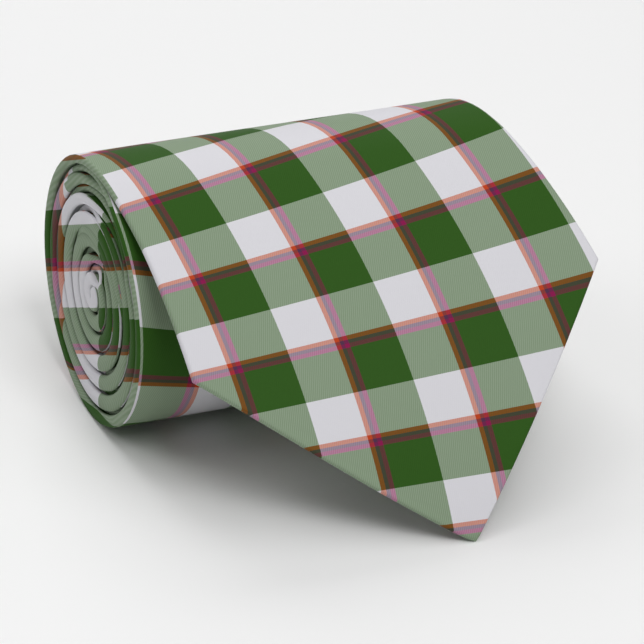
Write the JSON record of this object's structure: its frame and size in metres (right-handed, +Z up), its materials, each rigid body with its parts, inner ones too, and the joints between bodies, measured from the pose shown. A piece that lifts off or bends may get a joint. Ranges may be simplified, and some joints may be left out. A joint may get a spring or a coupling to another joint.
{
  "type": "necktie",
  "caption": "Rolled plaid necktie lying on its side, with the wide blade coming off the top of the roll and its point resting on the surface.",
  "frame": {"origin": "on the resting surface, at the middle of the roll's flattened foot, straight under the roll's axis", "axes": "+Z up, +X along the roll's axis from its flush end to the end where the tie narrows, -Y forward, where the blade points"},
  "size_m": [0.1046, 0.1102, 0.0618],
  "materials": {
    "plaid_twill": "woven polyester twill in a green, off-white and rust plaid, soft sheen",
    "interlining": "brushed wool-blend interlining, matt",
    "lining": "smooth plain-woven polyester lining",
    "label": "satin-woven blank label",
    "thread": "twisted polyester sewing thread"
  },
  "bodies": {
    "roll": {"blade_shell_roll": "plaid_twill", "neck_shell": "plaid_twill", "tail_shell": "plaid_twill", "interlining_roll": "interlining", "slip_stitch_roll": "thread", "tail_tipping": "lining", "tail_bar_tack": "thread", "keeper_loop": "plaid_twill", "keeper_stitches": "thread", "care_label": "label", "label_stitches": "thread", "neck_seam_stitches": "thread"},
    "blade": {"blade_shell_apron": "plaid_twill", "interlining_apron": "interlining", "blade_tipping_apron": "lining", "slip_stitch_apron": "thread", "front_bar_tack": "thread"},
    "tip": {"blade_shell_tip": "plaid_twill", "interlining_tip": "interlining", "blade_tipping_tip": "lining"}
  },
  "joints": [
    {"name": "blade_lift", "type": "hinge", "parent": "roll", "child": "blade", "pos_m": [0, -0.00936, 0.06036], "axis": [-1, 0, 0], "range_deg": [0, 75]},
    {"name": "tip_bend", "type": "hinge", "parent": "blade", "child": "tip", "pos_m": [0, -0.06082, 0.02739], "axis": [-1, 0, 0], "range_deg": [0, 80]}
  ]
}
